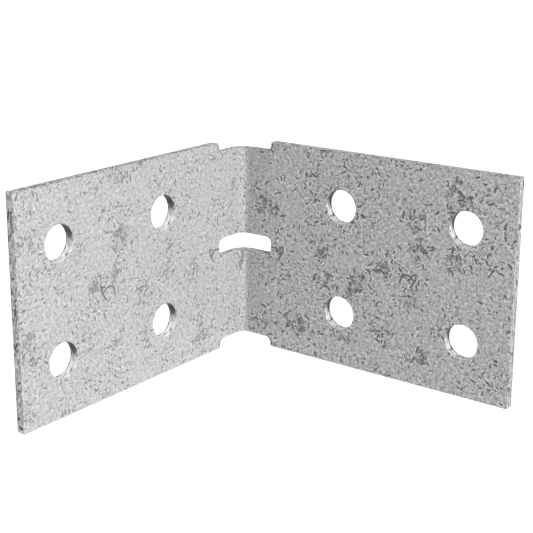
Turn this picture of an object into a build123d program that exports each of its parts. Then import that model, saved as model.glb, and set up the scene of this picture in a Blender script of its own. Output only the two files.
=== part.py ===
from build123d import *
import os

# Driving dimensions, in millimetres
leg_length = 70.0
bracket_width = 48.0
sheet_thickness = 2.0
bend_radius = 2.0

# Screw holes, the same pattern in each leg
hole_diameter = 7.4
hole_columns = 2
hole_rows = 2
column_spacing = 30.0
row_spacing = 24.0
end_distance = 11.0

# Reliefs punched across the bend: one slot at mid-width and half a slot at each end
slot_height = 4.0
notch_depth = 2.1
relief_flat = 6.2
relief_corner_radius = 1.4

# A relief keeps a short straight end, so its corner radius stays under half its height
roundest_corner = 0.49

# Sizes that follow from those above
bend_reach = sheet_thickness + bend_radius
relief_reach = bend_reach + relief_flat
pattern_centre = leg_length - end_distance - (hole_columns - 1) * column_spacing / 2
half_width = bracket_width / 2

# The sharp corner where the two outer faces would meet if the sheet had no bend radius
corner = Vector(-leg_length / 2, leg_length / 2, 0)
right_tip = corner + Vector(leg_length, 0, 0)
left_tip = corner - Vector(0, leg_length, 0)

# Each leg's outer face, with x running from the corner to the tip and z into the sheet
mid_corner = corner + Vector(0, 0, half_width)
right_leg = Plane(origin=mid_corner, x_dir=(1, 0, 0), z_dir=(0, -1, 0))
left_leg = Plane(origin=mid_corner, x_dir=(0, -1, 0), z_dir=(1, 0, 0))
legs = (right_leg, left_leg)


def relief_outline(height):
    """A round-cornered opening centred on the bend line, as long on both legs."""
    corner_radius = min(relief_corner_radius, roundest_corner * height)
    RectangleRounded(2 * relief_reach, height, corner_radius)


with BuildPart() as angle_bracket:
    # The sheet folded to a right angle, drawn as its section and extruded across its width
    with BuildSketch(Plane.XY) as folded_section:
        with BuildLine() as outer_skin:
            FilletPolyline(right_tip, corner, left_tip, radius=bend_reach)
            offset(amount=sheet_thickness, side=Side.LEFT)
        make_face()
    extrude(amount=bracket_width)

    # Screw holes, punched square through each leg
    for leg in legs:
        with BuildSketch(leg) as screw_holes:
            with Locations((pattern_centre, 0)):
                with GridLocations(column_spacing, row_spacing, hole_columns, hole_rows):
                    Circle(hole_diameter / 2)
        extrude(amount=sheet_thickness, mode=Mode.SUBTRACT)

    # The slot and the two notches, cut square to each leg and deep enough to clear the bend
    for leg in legs:
        with BuildSketch(leg) as bend_reliefs:
            relief_outline(slot_height)
            with Locations((0, half_width), (0, -half_width)):
                relief_outline(2 * notch_depth)
        extrude(amount=bend_reach, mode=Mode.SUBTRACT)

angle_bracket.part.label = "angle_bracket"

os.makedirs("parts", exist_ok=True)
export_step(angle_bracket.part, "parts/angle_bracket.step")
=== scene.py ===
import math
from collections import namedtuple

import bpy
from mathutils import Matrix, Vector
from mathutils.geometry import delaunay_2d_cdt


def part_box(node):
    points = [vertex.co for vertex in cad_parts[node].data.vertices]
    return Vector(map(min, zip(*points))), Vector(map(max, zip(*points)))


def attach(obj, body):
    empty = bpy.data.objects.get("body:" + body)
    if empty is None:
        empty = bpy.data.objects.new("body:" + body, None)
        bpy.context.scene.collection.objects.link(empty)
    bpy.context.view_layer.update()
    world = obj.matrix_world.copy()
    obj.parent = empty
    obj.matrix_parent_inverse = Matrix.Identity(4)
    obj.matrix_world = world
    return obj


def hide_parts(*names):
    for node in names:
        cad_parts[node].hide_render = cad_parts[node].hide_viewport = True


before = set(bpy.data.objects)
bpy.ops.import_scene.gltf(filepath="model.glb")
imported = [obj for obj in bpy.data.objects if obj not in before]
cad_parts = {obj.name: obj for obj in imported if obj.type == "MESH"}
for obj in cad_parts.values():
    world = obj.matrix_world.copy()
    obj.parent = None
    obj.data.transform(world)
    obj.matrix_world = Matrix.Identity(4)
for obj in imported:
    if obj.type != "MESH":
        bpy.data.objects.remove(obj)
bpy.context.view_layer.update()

NODE = "angle_bracket"
MM = 0.001

# Sizes of the punched and folded sheet, in millimetres
SHEET = 2.0
BEND_RADIUS = 2.0
HOLE_RADIUS = 3.7
HOLE_COLUMNS = (29.0, 59.0)
HOLE_ROWS = (12.0, 36.0)
SLOT_HEIGHT = 4.0
NOTCH_DEPTH = 2.1
RELIEF_FLAT = 6.2
RELIEF_CORNER = 1.4

# The bend turns by this much to each side of its middle, which points away from both legs
HALF_TURN = math.radians(45)
MIDDLE_OF_BEND = math.radians(135)

# Cut edges, in millimetres: rolled in where the punch went in, torn wider where it came out
CORNER_SOFTNESS = 0.25
ROLL_WIDTH = 0.2
ROLL_DEPTH = 0.12
BURNISH_END = 1.1
TEAR_END = 1.7
TEAR_WIDTH = 0.05
BURR_ROUND = 0.05
# How many times its own width is added to the rolled edge along the sides of the notches
NOTCH_ROLL = 2.2

# Brightness of the cut edges, beside the faces: painted shade on the tops of hole walls, the burr, the
# long edges, the right end and the notches' sides, and painted light low on the hole walls
HOLE_WALL_SHADE = 0.1
BURR_SHADE = 0.5
LEFT_HOLE_LIGHT = 1.75
RIGHT_HOLE_SHADE_AND_LIGHT = (0.6, 1.4)
SLIT_SHADE = 0.86
RELIEF_TONE = 1.0
LEFT_END_TONE = 1.0
RIGHT_END_SHADE = 0.76
NOTCH_SIDE_SHADE = 0.2

# Where a hole's wall changes from painted shade to painted light, with -1 its top and 1 its bottom
LEFT_TIDE = (-0.35, 0.4)
RIGHT_TIDE = (-0.2, 0.25)
# The depths from which a right-hand hole's wall carries painted shade at its top and lower down, where the
# one gives way to the other, and how softly the painted shade starts
SHADE_DEPTHS = (-0.5, 1.55)
SHADE_TIDE = (-0.8, 0.35)
SHADE_SOFTNESS = 0.3
# Where that painted shade pales toward the burr's painted shade, from the wall's top down
BURR_TIDE = (0.0, 0.5)
# The painted shade on a relief's floor: its tone, the depths from which it shows near the bend and at the
# right end, and where the one gives way to the other, in millimetres from the bend line
RELIEF_FLOOR_SHADE = 0.2
FLOOR_DEPTHS = (1.9, 0.4)
FLOOR_TIDE = (0.5, 7.5)

# Flat places nearer than this count as one
TOLERANCE = 1e-5

# Mesh density
BEND_STEPS = 24
HOLE_STEPS = 96
CORNER_STEP = math.radians(9)
ROLL_STEPS = 4
WALL_STEPS = 6
BURR_STEPS = 2

# Each ring of points down a cut edge: how far in and how deep it lies, how its normal leans outward and
# through the sheet, how much it belongs to the wall and not to a face, and its tone, painted shade on the
# burr
Ring = namedtuple("Ring", "inset depth outward through wall tone")

# The skin's points: place, normal, place in the blank, and the run along its edge, share of wall and tone,
# the tone being painted light and shade
Skin = namedtuple("Skin", "places normals blank edges")

low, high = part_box(NODE)
leg_length = (high.x - low.x) / MM
width = (high.z - low.z) / MM
bend_reach = SHEET + BEND_RADIUS
bend_centre = Vector((low.x / MM + bend_reach, high.y / MM - bend_reach))

# The blank before folding: s runs along it from the left tip to the right tip, with the bend line at 0
half_bend = HALF_TURN * (BEND_RADIUS + SHEET / 2)
half_blank = half_bend + leg_length - bend_reach
relief_reach = half_bend + RELIEF_FLAT
bend_stations = [half_bend * (2 * step / BEND_STEPS - 1) for step in range(BEND_STEPS + 1)]


def right_of(direction):
    """The blank's outward side of an outline that has the sheet on its left."""
    return Vector((direction.y, -direction.x))


def turned(vector, angle):
    """A flat vector turned anticlockwise by an angle."""
    cos = math.cos(angle)
    sin = math.sin(angle)
    return Vector((vector.x * cos - vector.y * sin, vector.x * sin + vector.y * cos))


def share_of(value, start, end):
    """How far a value has gone from start to end, from 0 to 1."""
    return max(0, min(1, (value - start) / (end - start)))


def blend(low_value, high_value, share):
    """A value between two others."""
    return low_value + (high_value - low_value) * share


def rounded_outline(corners):
    """(point, outward normal) round closed (s, z, radius) corners, with the sheet on their left."""
    outline = []
    for index, (s, z, radius) in enumerate(corners):
        here = Vector((s, z))
        before = Vector(corners[index - 1][:2])
        after = Vector(corners[(index + 1) % len(corners)][:2])
        coming = (here - before).normalized()
        going = (after - here).normalized()
        turn = math.atan2(coming.cross(going), coming.dot(going))
        side = 1 if turn > 0 else -1
        centre = here - coming * radius * math.tan(abs(turn) / 2) - right_of(coming) * radius * side
        steps = math.ceil(abs(turn) / CORNER_STEP - TOLERANCE)
        for step in range(steps + 1):
            normal = turned(right_of(coming), turn * step / max(steps, 1))
            outline.append((centre + normal * radius * side, normal))
    # The run along the outline starts and ends within the first corner, where no pattern shows the seam
    return outline[1:] + outline[:1]


def hole_outline(s, z):
    """(point, outward normal) round a screw hole, with the sheet on its left."""
    outline = []
    for step in range(HOLE_STEPS):
        inward = turned(Vector((1, 0)), -2 * math.pi * step / HOLE_STEPS)
        outline.append((Vector((s, z)) + inward * HOLE_RADIUS, -inward))
    return outline


def perimeter_outline():
    """Round the blank, through the half-slot notch at each end of the bend line."""
    soft = CORNER_SOFTNESS
    tip = half_blank
    reach = relief_reach
    low_floor = NOTCH_DEPTH
    high_floor = width - NOTCH_DEPTH
    bottom = [(-tip, 0, soft), (-reach, 0, soft), (-reach, low_floor, RELIEF_CORNER)]
    bottom += [(s, low_floor, 0) for s in bend_stations]
    bottom += [(reach, low_floor, RELIEF_CORNER), (reach, 0, soft), (tip, 0, soft)]
    top = [(tip, width, soft), (reach, width, soft), (reach, high_floor, RELIEF_CORNER)]
    top += [(s, high_floor, 0) for s in reversed(bend_stations)]
    top += [(-reach, high_floor, RELIEF_CORNER), (-reach, width, soft), (-tip, width, soft)]
    return rounded_outline(bottom + top)


def slot_outline():
    """Round the slot across the bend line at mid-width."""
    floor = width / 2 - SLOT_HEIGHT / 2
    roof = width / 2 + SLOT_HEIGHT / 2
    corners = [(-relief_reach, floor, RELIEF_CORNER), (-relief_reach, roof, RELIEF_CORNER)]
    corners += [(s, roof, 0) for s in bend_stations]
    corners += [(relief_reach, roof, RELIEF_CORNER), (relief_reach, floor, RELIEF_CORNER)]
    corners += [(s, floor, 0) for s in reversed(bend_stations)]
    return rounded_outline(corners)


def edge_profile():
    """The rings down a cut edge, from the inner face to the outer face."""
    profile = []
    for step in range(ROLL_STEPS + 1):
        angle = math.pi / 2 * step / ROLL_STEPS
        lean = Vector((math.sin(angle) / ROLL_WIDTH, -math.cos(angle) / ROLL_DEPTH)).normalized()
        inset = ROLL_WIDTH * (1 - math.sin(angle))
        depth = ROLL_DEPTH * (1 - math.cos(angle))
        profile.append(Ring(inset, depth, lean.x, lean.y, step / ROLL_STEPS, 1))
    for step in range(1, WALL_STEPS + 1):
        depth = ROLL_DEPTH + (TEAR_END - ROLL_DEPTH) * step / WALL_STEPS
        inset = TEAR_WIDTH * share_of(depth, BURNISH_END, TEAR_END)
        profile.append(Ring(inset, depth, 1, 0, 1, 1))
    for step in range(BURR_STEPS + 1):
        angle = math.pi / 2 * step / BURR_STEPS
        inset = TEAR_WIDTH + BURR_ROUND * (1 - math.cos(angle))
        depth = SHEET - BURR_ROUND * (1 - math.sin(angle))
        wall = 1 - step / BURR_STEPS
        # The burr carries painted shade
        tone = BURR_SHADE if wall else 1
        profile.append(Ring(inset, depth, math.cos(angle), math.sin(angle), wall, tone))
    return profile


def hole_tone(point, normal, depth):
    """How bright a hole's wall is drawn: painted shade at its top and painted light lower down, by the way
    it faces.
    """
    if point.x < 0:
        return blend(HOLE_WALL_SHADE, LEFT_HOLE_LIGHT, share_of(normal.y, *LEFT_TIDE))
    # On a right-hand hole, painted shade covers the whole wall at the top and only its back part lower
    # down
    start = blend(*SHADE_DEPTHS, share_of(normal.y, *SHADE_TIDE))
    torn_noise_and_painted_shade = share_of(depth, start, start + SHADE_SOFTNESS)
    shade_tone = blend(HOLE_WALL_SHADE, BURR_SHADE, share_of(normal.y, *BURR_TIDE))
    light_and_shade_tone = blend(*RIGHT_HOLE_SHADE_AND_LIGHT, share_of(normal.y, *RIGHT_TIDE))
    return blend(light_and_shade_tone, shade_tone, torn_noise_and_painted_shade)


def notch_side(point, normal):
    """How squarely a cut edge faces the bend as the sides of the notches do, from 0 to 1."""
    # Only the notches lie within a slot's height of the sheet's long edges
    if abs(point.y - width / 2) < width / 2 - SLOT_HEIGHT:
        return 0
    return max(0, -normal.x if point.x > 0 else normal.x)


def straight_tone(point, normal, depth):
    """How bright a straight cut edge is: round a relief, along the strip, or at either end, with painted
    shade on a relief's floor, the long edges, the right end and the notches' sides.
    """
    if abs(point.x) < relief_reach + TOLERANCE:
        # Painted shade on the up-facing floor of a relief: on its back part near the bend, over more of
        # its depth toward the right end
        start = blend(*FLOOR_DEPTHS, share_of(point.x, *FLOOR_TIDE))
        torn_noise_and_painted_shade = share_of(depth, start, start + SHADE_SOFTNESS) * max(0, normal.y)
        tone = blend(RELIEF_TONE, RELIEF_FLOOR_SHADE, torn_noise_and_painted_shade)
    else:
        # Painted shade on the long edges and, darker, on the right end
        end_tone = LEFT_END_TONE if normal.x < 0 else RIGHT_END_SHADE
        tone = blend(end_tone, SLIT_SHADE, abs(normal.y))
    # Painted shade on the sides of the notches
    return blend(tone, NOTCH_SIDE_SHADE, notch_side(point, normal))


def fold(s, z, depth):
    """A place in the blank, carried to the folded bracket, and the directions of s and depth there."""
    bent = max(-half_bend, min(half_bend, s))
    angle = MIDDLE_OF_BEND - HALF_TURN * bent / half_bend
    outward = Vector((math.cos(angle), math.sin(angle), 0))
    along = Vector((outward.y, -outward.x, 0))
    place = bend_centre.to_3d() + outward * (BEND_RADIUS + depth) + along * (s - bent)
    place.z = z
    return place * MM, along, outward


def inside(point, outlines):
    """True if a flat point lies within the outer outline and outside the holes."""
    crossings = 0
    for outline in outlines:
        for index, end in enumerate(outline):
            start = outline[index - 1]
            if (start.y > point.y) != (end.y > point.y):
                crossing = start.x + (end.x - start.x) * (point.y - start.y) / (end.y - start.y)
                crossings += point.x < crossing
    return crossings % 2 == 1


def closed_edges(outlines):
    """The numbers of each point and the next, round every outline."""
    edges = []
    first = 0
    for outline in outlines:
        count = len(outline)
        edges += [(first + index, first + (index + 1) % count) for index in range(count)]
        first += count
    return edges


def face_triangles(outlines):
    """Triangles of point numbers that fill a face, with an edge across it at each bend station."""
    points = [point for outline in outlines for point in outline]
    edges = closed_edges(outlines)
    # Each station crosses four cut edges: the low notch, the slot's floor and roof, and the high notch
    for s in bend_stations:
        column = [index for index, point in enumerate(points) if abs(point.x - s) < TOLERANCE]
        column.sort(key=lambda index: points[index].y)
        edges += [(column[0], column[1]), (column[2], column[3])]
    coords, _, faces, sources, _, _ = delaunay_2d_cdt(points, edges, [], 0, TOLERANCE)
    triangles = []
    for face in faces:
        a, b, c = (coords[corner] for corner in face)
        if not inside((a + b + c) / 3, outlines):
            continue
        numbers = [sources[corner][0] for corner in face]
        clockwise = (b - a).cross(c - a) < 0
        triangles.append(numbers[::-1] if clockwise else numbers)
    return triangles


def folded_skin(cuts, profile):
    """Every point of the skin, ring by ring and outline by outline."""
    skin = Skin([], [], [], [])
    for ring in profile:
        for outline, tone_at in cuts:
            run = 0
            before = outline[0][0]
            for point, normal in outline:
                run += (point - before).length
                before = point
                notched = notch_side(point, normal) if ring.depth < ROLL_DEPTH else 0
                at = point - normal * ring.inset * (1 + NOTCH_ROLL * notched)
                place, along, outward = fold(at.x, at.y, ring.depth)
                side = along * normal.x + Vector((0, 0, 1)) * normal.y
                # The walls take the tone of painted light and shade, and so does the widened rolled edge
                # along the notches' sides
                toned = max(ring.wall, notched) if ring.depth else ring.wall
                tone = blend(1, tone_at(point, normal, ring.depth), toned) * ring.tone
                skin.places.append(place)
                skin.normals.append(side * ring.outward + outward * ring.through)
                skin.blank.append((at.x, at.y, ring.depth))
                skin.edges.append((run, ring.wall, tone))
    return skin


def wall_faces(outlines, ring_count):
    """Four-sided faces between each ring and the next one down."""
    ring_size = sum(len(outline) for outline in outlines)
    edges = closed_edges(outlines)
    faces = []
    for number in range(ring_count - 1):
        ring = number * ring_size
        below = ring + ring_size
        faces += [(ring + here, below + here, below + after, ring + after) for here, after in edges]
    return faces


def flat_faces(outlines, blank, ring, flipped):
    """Triangles that fill a face of the sheet, within the ring that starts at a point number."""
    shrunk = []
    first = ring
    for outline in outlines:
        shrunk.append([Vector(place[:2]) for place in blank[first:first + len(outline)]])
        first += len(outline)
    faces = []
    for triangle in face_triangles(shrunk):
        corners = [ring + number for number in triangle]
        faces.append(corners[::-1] if flipped else corners)
    return faces


def keep_at_points(mesh, name, values):
    """A vector kept at each point of the mesh, for the finish."""
    attribute = mesh.attributes.new(name, "FLOAT_VECTOR", "POINT")
    attribute.data.foreach_set("vector", [part for value in values for part in value])


def folded_sheet(name):
    """The punched blank as a mesh, folded, with exact normals and its place in the blank kept."""
    cuts = [(perimeter_outline(), straight_tone), (slot_outline(), straight_tone)]
    for column in HOLE_COLUMNS:
        for row in HOLE_ROWS:
            s = half_bend + column - bend_reach
            cuts += [(hole_outline(-s, row), hole_tone), (hole_outline(s, row), hole_tone)]
    outlines = [outline for outline, _ in cuts]
    profile = edge_profile()
    skin = folded_skin(cuts, profile)

    last_ring = len(skin.places) - sum(len(outline) for outline in outlines)
    faces = wall_faces(outlines, len(profile))
    faces += flat_faces(outlines, skin.blank, 0, False)
    faces += flat_faces(outlines, skin.blank, last_ring, True)

    mesh = bpy.data.meshes.new(name)
    mesh.from_pydata(skin.places, [], faces)
    mesh.polygons.foreach_set("use_smooth", [True] * len(mesh.polygons))
    mesh.normals_split_custom_set_from_vertices(skin.normals)
    keep_at_points(mesh, "blank", skin.blank)
    keep_at_points(mesh, "edge", skin.edges)
    sheet = bpy.data.objects.new(name, mesh)
    bpy.context.scene.collection.objects.link(sheet)
    return sheet


# Finish: patterns on the outer face and on the cut edges lie this far from those on the inner face
OUTER_OFFSET = 400.0
EDGE_OFFSET = 200.0
# A millimetre along a cut edge counts as this much of one, which draws the patterns out lengthwise
EDGE_STRETCH = 0.6
# The share of wall from which a place belongs to the cut edge and not to a face
MOSTLY_WALL = 0.5

# Noise: features to a millimetre, levels of detail, roughness and distortion
FINE = (1.5, 2.0, 0.6, 0.0)
WINDING = (1.15, 1.0, 0.5, 1.2)
CLUSTERS = (0.11, 2.0, 0.6, 0.0)
TORN = (0.55, 4.0, 0.75, 0.3)
WAVER = (1.2, 1.0, 0.5, 0.0)
PATCH_WAVER = (0.35, 1.0, 0.5, 0.0)
NOISE_MIDDLE = 0.5
# How far the fine and the winding noise are moved, so that neither follows the rest
FINE_SHIFT = (5.0, 71.0, 0.0)
WINDING_SHIFT = (90.0, 13.0, 0.0)
# How far strokes stray from straight lines and patches from round ones, in millimetres
WANDER = 0.35
PATCH_WANDER = 6.0

# Dark strokes: cell, half-length and half-width in millimetres, share of cells, shift, strength
FLECKS = (
    (0.75, 0.19, 0.12, 0.85, 0.0, 0.55),
    (1.15, 0.37, 0.15, 0.85, 13.0, 0.93),
    (1.7, 0.55, 0.175, 0.8, 29.0, 0.9),
    (9.0, 1.1, 0.16, 0.4, 83.0, 0.95),
)
# Light specks: the same, without the strength
LIGHT_SPECKS = (0.9, 0.26, 0.14, 0.8, 47.0)
# Brightness of light specks, and of the rim round each dark stroke
GLINT = 0.2
RIM = 0.2
# A shift of a pattern goes this far across the blank for each millimetre along it
SHIFT_SLANT = 0.37
# Chance makes a stroke smaller or larger: its size is divided by a number between these
STROKE_SHRINK = (1.9, 0.7)
# Where a stroke fades, and where the rim round it starts and ends, with 1 the stroke's own size
STROKE_END = (0.7, 1.3)
RIM_START = (1.1, 1.5)
RIM_END = (1.6, 2.4)
# The strokes that are let in last are faint: full strength comes this much below the share
FAINT_SHARE = 0.6

# How many of the strokes show where they are few and where they cluster, the noise between which that
# changes, and how many more show in the spots below
CALM = 0.65
CROWDED = 1.25
CLUSTER_RANGE = (0.38, 0.62)
GATHERED = 1.2

# Dark spangles lie in spots: cell in millimetres, share of cells, and reach from a spot's middle
PATCH_CELL = 8.0
PATCH_SHARE = 0.72
PATCH_REACH = 4.0
# The clear eye that some of the spots have, and the chances between which it comes in
PATCH_EYE = 1.1
EYE_CHANCES = (0.4, 0.6)
# How far a spot lifts the torn noise, the level at which a patch starts, and how softly it does
PATCH_LIFT = 0.3
PATCH_START = 0.67
PATCH_SOFTNESS = 0.05
# How dark the patches are, how far fine grain changes that, and how much is kept on the cut edges
PATCH_STRENGTH = 0.62
PATCH_GRAIN = 0.22
GRAIN_RANGE = (0.35, 0.65)
EDGE_PATCHES = 0.4

# Fine mottling, and light winding veins between the strokes
MOTTLING = 0.33
MOTTLING_RANGE = (0.25, 0.75)
VEINS = 0.46
VEIN_WIDTH = 0.055

# Thin scores beside the slot's ends: start and end of each, as distance from the bend line and height
SCORES = (
    ((8.15, 21.8), (8.4, 23.1)),
    ((8.4, 23.1), (8.85, 23.8)),
    ((8.85, 23.8), (10.25, 23.85)),
    ((10.25, 23.85), (11.55, 22.9)),
    ((11.05, 24.0), (12.05, 24.3)),
    ((12.05, 24.3), (11.95, 23.15)),
    ((11.95, 23.15), (10.8, 21.35)),
)
# How far beyond them the same scores come again, in millimetres
SCORE_SPACING = 34.3
SCORE_HALF_WIDTH = 0.19
SCORE_STRENGTH = 0.92

# The pattern is fainter on the left leg and stronger on cut edges, and it is never darker than this. The
# fainter pattern on the left leg, which the key lamp lights squarely, and the stronger one on the right
# leg, which it grazes, are painted light and shade.
LEFT_CONTRAST = 0.73
RIGHT_CONTRAST = 1.04
CUT_CONTRAST = 1.5
DARKEST = 0.05
# Painted shade in the crease to the right of the bend line: how dark it is, and where it comes and goes,
# in millimetres from it
BEND_SHADE = 0.12
BEND_SHADE_START = (0.5, 1.5)
BEND_SHADE_END = (2.0, 12.0)

# How much light the zinc mirrors and scatters, and the share of the scattered that no pattern darkens
SHEEN = 0.15
BODY = 0.413
BODY_FLOOR = 0.35
# Roughness of dark crystals and of plain zinc, and how much brightness is left in the one and the other
CRYSTAL_ROUGHNESS = 0.7
ZINC_ROUGHNESS = 0.6
CRYSTAL_RANGE = (0.4, 1.0)
# Height of the skin's fine relief in millimetres, and how deep the dark crystals lie beside the grain
SKIN_RELIEF = 0.08
CRYSTAL_RELIEF = 0.7

# The sockets of a vector mix: its factor, its two vectors and its result
MIX_FACTOR = 0
MIX_FIRST = 4
MIX_SECOND = 5
MIX_RESULT = 1


def node(tree, kind, inputs=(), **settings):
    """A shader node with its settings, and each input either linked or set."""
    made = tree.nodes.new(kind)
    for name, value in settings.items():
        setattr(made, name, value)
    for name, value in dict(inputs).items():
        if isinstance(value, bpy.types.NodeSocket):
            tree.links.new(value, made.inputs[name])
        else:
            made.inputs[name].default_value = value
    return made


def math_of(tree, operation, first, second=0.0):
    """One step of arithmetic on shader values."""
    inputs = {0: first, 1: second}
    return node(tree, "ShaderNodeMath", inputs, operation=operation).outputs["Value"]


def multiply_add(tree, value, factor, added):
    """A shader value times a factor, with another value added."""
    inputs = {0: value, 1: factor, 2: added}
    return node(tree, "ShaderNodeMath", inputs, operation="MULTIPLY_ADD").outputs["Value"]


def product(tree, first, *others):
    """Shader values multiplied together."""
    for other in others:
        first = math_of(tree, "MULTIPLY", first, other)
    return first


def rest_of(tree, share):
    """What a share leaves of the whole."""
    return math_of(tree, "SUBTRACT", 1.0, share)


def ramp(tree, value, start, end, low_value=0.0, high_value=1.0):
    """A smooth change from one value to another as the input goes from start to end."""
    inputs = {"Value": value, "From Min": start, "From Max": end}
    inputs.update({"To Min": low_value, "To Max": high_value})
    return node(tree, "ShaderNodeMapRange", inputs, interpolation_type="SMOOTHSTEP").outputs["Result"]


def vector_of(tree, operation, first, second=(0, 0, 0)):
    """One step of arithmetic on shader vectors."""
    inputs = {0: first, 1: second}
    return node(tree, "ShaderNodeVectorMath", inputs, operation=operation).outputs["Vector"]


def scaled_vector(tree, vector, factor):
    """A shader vector made longer or shorter."""
    inputs = {0: vector, "Scale": factor}
    return node(tree, "ShaderNodeVectorMath", inputs, operation="SCALE").outputs["Vector"]


def length_of(tree, vector):
    """How long a shader vector is."""
    return node(tree, "ShaderNodeVectorMath", {0: vector}, operation="LENGTH").outputs["Value"]


def rotated(tree, vector, angle):
    """A flat shader vector turned by an angle."""
    inputs = {"Vector": vector, "Angle": angle}
    return node(tree, "ShaderNodeVectorRotate", inputs, rotation_type="Z_AXIS").outputs["Vector"]


def flat_vector(tree, along, across):
    """A flat shader vector from its two parts."""
    return node(tree, "ShaderNodeCombineXYZ", {"X": along, "Y": across}).outputs["Vector"]


def kept_at_points(tree, name):
    """The parts of a vector that the mesh keeps at its points."""
    kept = node(tree, "ShaderNodeAttribute", attribute_name=name).outputs["Vector"]
    return node(tree, "ShaderNodeSeparateXYZ", {"Vector": kept}).outputs


def place_on_skin(tree):
    """Where the pattern is looked up, the place in the blank, 1 on a cut edge, and that edge's painted
    light and shade.
    """
    blank = kept_at_points(tree, "blank")
    edge = kept_at_points(tree, "edge")
    outer = math_of(tree, "GREATER_THAN", blank["Z"], SHEET / 2)
    on_face = flat_vector(tree, multiply_add(tree, outer, OUTER_OFFSET, blank["X"]), blank["Y"])
    edge_along = math_of(tree, "MULTIPLY", edge["X"], EDGE_STRETCH)
    edge_across = math_of(tree, "ADD", blank["Z"], EDGE_OFFSET)
    on_edge = flat_vector(tree, edge_along, edge_across)
    cut = math_of(tree, "GREATER_THAN", edge["Y"], MOSTLY_WALL)
    choices = {MIX_FACTOR: cut, MIX_FIRST: on_face, MIX_SECOND: on_edge}
    place = node(tree, "ShaderNodeMix", choices, data_type="VECTOR").outputs[MIX_RESULT]
    return place, blank, cut, edge["Z"]


def noise(tree, place, scale, detail, roughness, distortion):
    """Plain cloudy noise over the skin."""
    inputs = {"Vector": place, "Scale": scale, "Detail": detail}
    inputs.update({"Roughness": roughness, "Distortion": distortion})
    return node(tree, "ShaderNodeTexNoise", inputs, noise_dimensions="2D").outputs


def strayed(tree, place, waver, reach):
    """The skin's places, each moved a little, so that what is drawn there has no straight outline."""
    stray = noise(tree, place, *waver)["Color"]
    stray = vector_of(tree, "SUBTRACT", stray, (NOISE_MIDDLE, NOISE_MIDDLE, 0))
    return vector_of(tree, "ADD", place, scaled_vector(tree, stray, reach))


def cells_over(tree, place, size):
    """Places counted in cells of a size, what is known of the nearest cell, and that cell's chances."""
    scaled = scaled_vector(tree, place, 1 / size)
    inputs = {"Vector": scaled, "Scale": 1.0}
    nearest = node(tree, "ShaderNodeTexVoronoi", inputs, voronoi_dimensions="2D").outputs
    chances = node(tree, "ShaderNodeSeparateColor", {"Color": nearest["Color"]}).outputs
    return scaled, nearest, chances


def flecks(tree, place, cell, half_length, half_width, share, shift):
    """Separate strokes, one to a cell, each turned, sized and faded by chance, and a rim round each."""
    moved = vector_of(tree, "ADD", place, (shift, shift * SHIFT_SLANT, 0))
    scaled, nearest, chances = cells_over(tree, moved, cell)
    local = vector_of(tree, "SUBTRACT", scaled, nearest["Position"])
    stroke = rotated(tree, local, math_of(tree, "MULTIPLY", chances["Red"], 2 * math.pi))
    stretched = vector_of(tree, "MULTIPLY", stroke, (cell / half_length, cell / half_width, 0))
    resized = scaled_vector(tree, stretched, ramp(tree, chances["Green"], 0, 1, *STROKE_SHRINK))
    distance = length_of(tree, resized)
    shape = ramp(tree, distance, *STROKE_END, 1.0, 0.0)
    rim = product(tree, ramp(tree, distance, *RIM_START), ramp(tree, distance, *RIM_END, 1.0, 0.0))
    spare = math_of(tree, "SUBTRACT", chances["Blue"], share)
    strength = ramp(tree, spare, -FAINT_SHARE, 0.0, 1.0, 0.0)
    return product(tree, shape, strength), product(tree, rim, strength)


def strokes(tree, place, crowding):
    """How much brightness the dark strokes of every kind leave, and how bright their rims are."""
    kept = 1.0
    rims = 1.0
    for cell, half_length, half_width, share, shift, strength in FLECKS:
        shown = math_of(tree, "MULTIPLY", crowding, share)
        marks, rim = flecks(tree, place, cell, half_length, half_width, shown, shift)
        faded = math_of(tree, "MULTIPLY", marks, strength)
        kept = product(tree, rest_of(tree, faded), kept)
        rims = multiply_add(tree, rim, RIM, rims)
    return kept, rims


def gathering(tree, place):
    """How near a point is, from 0 to 1, to the middle of one of the spots where dark crystals gather."""
    _, nearest, chances = cells_over(tree, place, PATCH_CELL)
    near = ramp(tree, nearest["Distance"], 0.0, PATCH_REACH / PATCH_CELL, 1.0, 0.0)
    size = ramp(tree, chances["Red"], 1 - PATCH_SHARE, 1.0)
    eye = ramp(tree, nearest["Distance"], 0.0, PATCH_EYE / PATCH_CELL, 1.0, 0.0)
    hollow = product(tree, eye, ramp(tree, chances["Green"], *EYE_CHANCES))
    return product(tree, near, rest_of(tree, hollow), size)


def dark_patches(tree, place, gathered, fine, cut):
    """How dark the ragged patches of spangle in those spots are, which is less on the cut edges."""
    torn_noise_and_painted_shade = noise(tree, place, *TORN)["Fac"]
    level = multiply_add(tree, gathered, PATCH_LIFT, torn_noise_and_painted_shade)
    core = ramp(tree, level, PATCH_START, PATCH_START + PATCH_SOFTNESS)
    grainy = ramp(tree, fine, *GRAIN_RANGE, PATCH_STRENGTH + PATCH_GRAIN, PATCH_STRENGTH - PATCH_GRAIN)
    on_edge = rest_of(tree, math_of(tree, "MULTIPLY", cut, 1 - EDGE_PATCHES))
    return product(tree, core, grainy, on_edge)


def mottled(tree, place, fine):
    """How bright the zinc is between its dark crystals, with fine mottling and winding veins."""
    mottling = ramp(tree, fine, *MOTTLING_RANGE, 1 - MOTTLING, 1 + MOTTLING)
    winding = noise(tree, vector_of(tree, "ADD", place, WINDING_SHIFT), *WINDING)["Fac"]
    off_middle = math_of(tree, "ABSOLUTE", math_of(tree, "SUBTRACT", winding, NOISE_MIDDLE))
    veins = ramp(tree, off_middle, 0.0, VEIN_WIDTH, 1 + VEINS, 1.0)
    return product(tree, mottling, veins)


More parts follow.
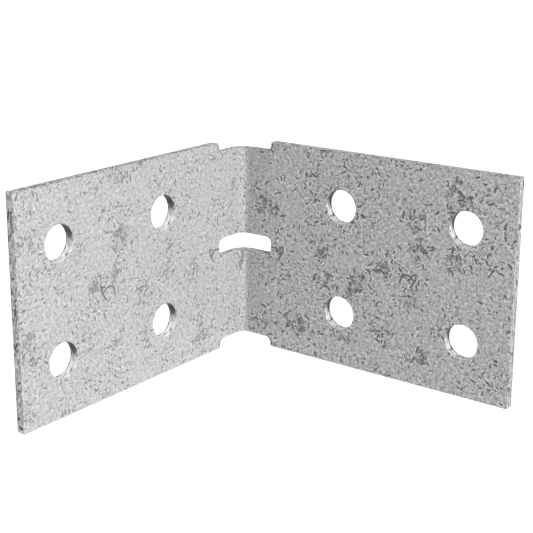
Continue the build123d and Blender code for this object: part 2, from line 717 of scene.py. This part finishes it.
def spangle(tree, place, cut):
    """The pattern's brightness, how much of it the dark crystals leave, and the fine grain."""
    fine = noise(tree, vector_of(tree, "ADD", place, FINE_SHIFT), *FINE)["Fac"]
    curved = strayed(tree, place, WAVER, WANDER)
    gathered = gathering(tree, strayed(tree, place, PATCH_WAVER, PATCH_WANDER))
    clusters = ramp(tree, noise(tree, place, *CLUSTERS)["Fac"], *CLUSTER_RANGE)
    sown = ramp(tree, clusters, 0.0, 1.0, CALM, CROWDED)
    kept, rims = strokes(tree, curved, multiply_add(tree, gathered, GATHERED, sown))
    patches = dark_patches(tree, place, gathered, fine, cut)
    kept = product(tree, rest_of(tree, patches), kept)
    specks, _ = flecks(tree, curved, *LIGHT_SPECKS)
    lit = multiply_add(tree, specks, GLINT, rims)
    return product(tree, kept, mottled(tree, place, fine), lit), kept, fine


def scored_line(tree, place, start, end):
    """1 within one thin straight score, and 0 outside it."""
    middle = (start + end) / 2
    reach = (end - start) / 2
    local = vector_of(tree, "SUBTRACT", place, (middle.x, middle.y, 0))
    level = rotated(tree, local, -math.atan2(reach.y, reach.x))
    beyond = vector_of(tree, "SUBTRACT", vector_of(tree, "ABSOLUTE", level), (reach.length, 0, 0))
    distance = length_of(tree, vector_of(tree, "MAXIMUM", beyond))
    return ramp(tree, distance, SCORE_HALF_WIDTH / 2, SCORE_HALF_WIDTH * 3 / 2, 1.0, 0.0)


def scores(tree, blank):
    """1 on the thin scores beside the slot's ends and farther out on each leg's inner face, or 0."""
    from_bend = math_of(tree, "ABSOLUTE", blank["X"])
    farther = math_of(tree, "GREATER_THAN", from_bend, SCORE_SPACING)
    place = flat_vector(tree, multiply_add(tree, farther, -SCORE_SPACING, from_bend), blank["Y"])
    marked = 0.0
    for start, end in SCORES:
        line = scored_line(tree, place, Vector(start), Vector(end))
        marked = math_of(tree, "MAXIMUM", line, marked)
    return product(tree, marked, math_of(tree, "LESS_THAN", blank["Z"], SHEET / 2))


def brightness(tree, pattern, blank, cut):
    """The pattern, fainter or stronger by where it lies, with the scores and nothing quite black."""
    face_contrast = ramp(tree, blank["X"], -BEND_RADIUS, BEND_RADIUS, LEFT_CONTRAST, RIGHT_CONTRAST)
    cut_contrast = math_of(tree, "MULTIPLY", cut, CUT_CONTRAST)
    contrast = math_of(tree, "MAXIMUM", face_contrast, cut_contrast)
    varied = product(tree, math_of(tree, "SUBTRACT", pattern, 1.0), contrast)
    scored = math_of(tree, "MULTIPLY", scores(tree, blank), SCORE_STRENGTH)
    drawn = product(tree, math_of(tree, "ADD", varied, 1.0), rest_of(tree, scored))
    return math_of(tree, "MAXIMUM", drawn, DARKEST)


def shade_of(tree, along, edge_light_and_shade):
    """How bright plain zinc is drawn: by the painted light and shade of a cut edge, and with painted shade
    beside the bend.
    """
    coming = ramp(tree, along, *BEND_SHADE_START)
    going = ramp(tree, along, *BEND_SHADE_END, BEND_SHADE, 0.0)
    return product(tree, edge_light_and_shade, rest_of(tree, product(tree, coming, going)))


def galvanised_steel():
    """Hot-dipped zinc: pale matt grey, with fine mottling, dark crystal strokes and darker spangles, and
    painted light and shade on its cut edges and beside the bend.
    """
    material = bpy.data.materials.new("galvanised_steel")
    material.use_nodes = True
    tree = material.node_tree
    shader = tree.nodes["Principled BSDF"].inputs
    place, blank, cut, edge_light_and_shade = place_on_skin(tree)
    pattern, kept, fine = spangle(tree, place, cut)
    bright = brightness(tree, pattern, blank, cut)
    # Painted light and shade: the tones of the cut edges, and painted shade in the crease beside the bend
    shade = shade_of(tree, blank["X"], edge_light_and_shade)

    sheen = product(tree, bright, SHEEN, shade)
    scattered = multiply_add(tree, bright, BODY * (1 - BODY_FLOOR), BODY * BODY_FLOOR)
    grey = math_of(tree, "ADD", sheen, product(tree, scattered, shade))
    colour = node(tree, "ShaderNodeCombineColor", {"Red": grey, "Green": grey, "Blue": grey})
    roughness = ramp(tree, kept, *CRYSTAL_RANGE, CRYSTAL_ROUGHNESS, ZINC_ROUGHNESS)
    tree.links.new(colour.outputs["Color"], shader["Base Color"])
    tree.links.new(math_of(tree, "DIVIDE", sheen, grey), shader["Metallic"])
    tree.links.new(roughness, shader["Roughness"])

    height = multiply_add(tree, kept, CRYSTAL_RELIEF, fine)
    relief = {"Height": height, "Strength": 1.0, "Distance": SKIN_RELIEF * MM}
    bump = node(tree, "ShaderNodeBump", relief)
    tree.links.new(bump.outputs["Normal"], shader["Normal"])
    return material


bracket = folded_sheet("folded_sheet")
bracket.data.materials.append(galvanised_steel())
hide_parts(NODE)
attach(bracket, "root")

# Floor and background: both look white, but light the bracket less than that
FLOOR_HALF = 2.0
WHITE = (1, 1, 1, 1)
MATT_GREY = (0.45, 0.45, 0.45, 1)
GLOW = 0.955
AMBIENT = 0.2


def level_if_seen(tree, unseen, seen):
    """One strength for rays that only light the scene, and another for those that show the background."""
    paths = node(tree, "ShaderNodeLightPath").outputs
    shown = math_of(tree, "MAXIMUM", paths["Is Camera Ray"], paths["Is Glossy Ray"])
    shown = math_of(tree, "MAXIMUM", shown, paths["Is Transmission Ray"])
    levels = {"Value": shown, "To Min": unseen, "To Max": seen}
    return node(tree, "ShaderNodeMapRange", levels).outputs["Result"]


def floor_paint():
    """Matt paint that glows to the rays that show it, so that the floor runs into the background."""
    material = bpy.data.materials.new("floor_paint")
    material.use_nodes = True
    tree = material.node_tree
    tree.nodes.clear()
    matt = node(tree, "ShaderNodeBsdfDiffuse", {"Color": MATT_GREY}).outputs["BSDF"]
    strength = level_if_seen(tree, 0.0, GLOW)
    glow = node(tree, "ShaderNodeEmission", {"Strength": strength}).outputs["Emission"]
    both = node(tree, "ShaderNodeAddShader", {0: matt, 1: glow}).outputs["Shader"]
    node(tree, "ShaderNodeOutputMaterial", {"Surface": both})
    return material


def flat_floor():
    """A square floor that fills every view from above."""
    mesh = bpy.data.meshes.new("floor")
    corners = [(x * FLOOR_HALF, y * FLOOR_HALF, 0) for x, y in ((-1, -1), (1, -1), (1, 1), (-1, 1))]
    mesh.from_pydata(corners, [], [(0, 1, 2, 3)])
    mesh.materials.append(floor_paint())
    ground = bpy.data.objects.new("floor", mesh)
    bpy.context.scene.collection.objects.link(ground)
    return ground


def white_studio():
    """The background round the scene."""
    world = bpy.data.worlds.new("studio")
    world.use_nodes = True
    tree = world.node_tree
    background = tree.nodes["Background"].inputs
    background["Color"].default_value = WHITE
    tree.links.new(level_if_seen(tree, AMBIENT, 1.0), background["Strength"])
    return world


floor = flat_floor()
bpy.context.scene.world = white_studio()

# Soft lamps round the bracket: azimuth from the right tip's side toward the camera and height, in degrees,
# then size in metres and power in watts
LAMP_DISTANCE = 0.8
LAMPS = (
    ("key", 9, 8, 0.45, 7.0),
    ("fill", 45, 20, 0.6, 1.6),
    ("back", 212, 25, 0.6, 3.0),
)


def lamp(name, azimuth, height, size, watts):
    """A square soft lamp that faces the middle of the bracket."""
    data = bpy.data.lights.new(name, "AREA")
    data.shape = "SQUARE"
    data.size = size
    data.energy = watts
    lit_from = bpy.data.objects.new(name, data)
    around = math.radians(azimuth)
    above = math.radians(height)
    flat = math.cos(above)
    toward = Vector((flat * math.cos(around), -flat * math.sin(around), math.sin(above)))
    lit_from.location = Vector((0, 0, width * MM / 2)) + toward * LAMP_DISTANCE
    lit_from.rotation_euler = toward.to_track_quat("Z", "Y").to_euler()
    lit_from.visible_glossy = False
    bpy.context.scene.collection.objects.link(lit_from)


for settings in LAMPS:
    lamp(*settings)

# Camera: place in millimetres, turn and downward tilt in degrees, lens and sensor in millimetres
CAMERA_PLACE = Vector((133.626, -179.692, 99.466))
CAMERA_AZIMUTH = 37.760
CAMERA_TILT = 14.683
LENS = 82.228
SENSOR_WIDTH = 36
SHIFT_X = 0.0338
SHIFT_Y = -0.0863
# How near the camera sees, in metres, and the turn that makes it look level, in degrees
NEAREST_SEEN = 0.01
LEVEL = 90


def placed_camera():
    """A camera that sees the bracket from in front, between its legs and a little above."""
    data = bpy.data.cameras.new("camera")
    data.lens = LENS
    data.sensor_width = SENSOR_WIDTH
    data.shift_x = SHIFT_X
    data.shift_y = SHIFT_Y
    data.clip_start = NEAREST_SEEN
    seen_from = bpy.data.objects.new("camera", data)
    seen_from.location = CAMERA_PLACE * MM
    seen_from.rotation_euler = (math.radians(LEVEL - CAMERA_TILT), 0, math.radians(CAMERA_AZIMUTH))
    bpy.context.scene.collection.objects.link(seen_from)
    return seen_from


bpy.context.scene.camera = placed_camera()
bpy.context.scene.view_settings.view_transform = "Standard"
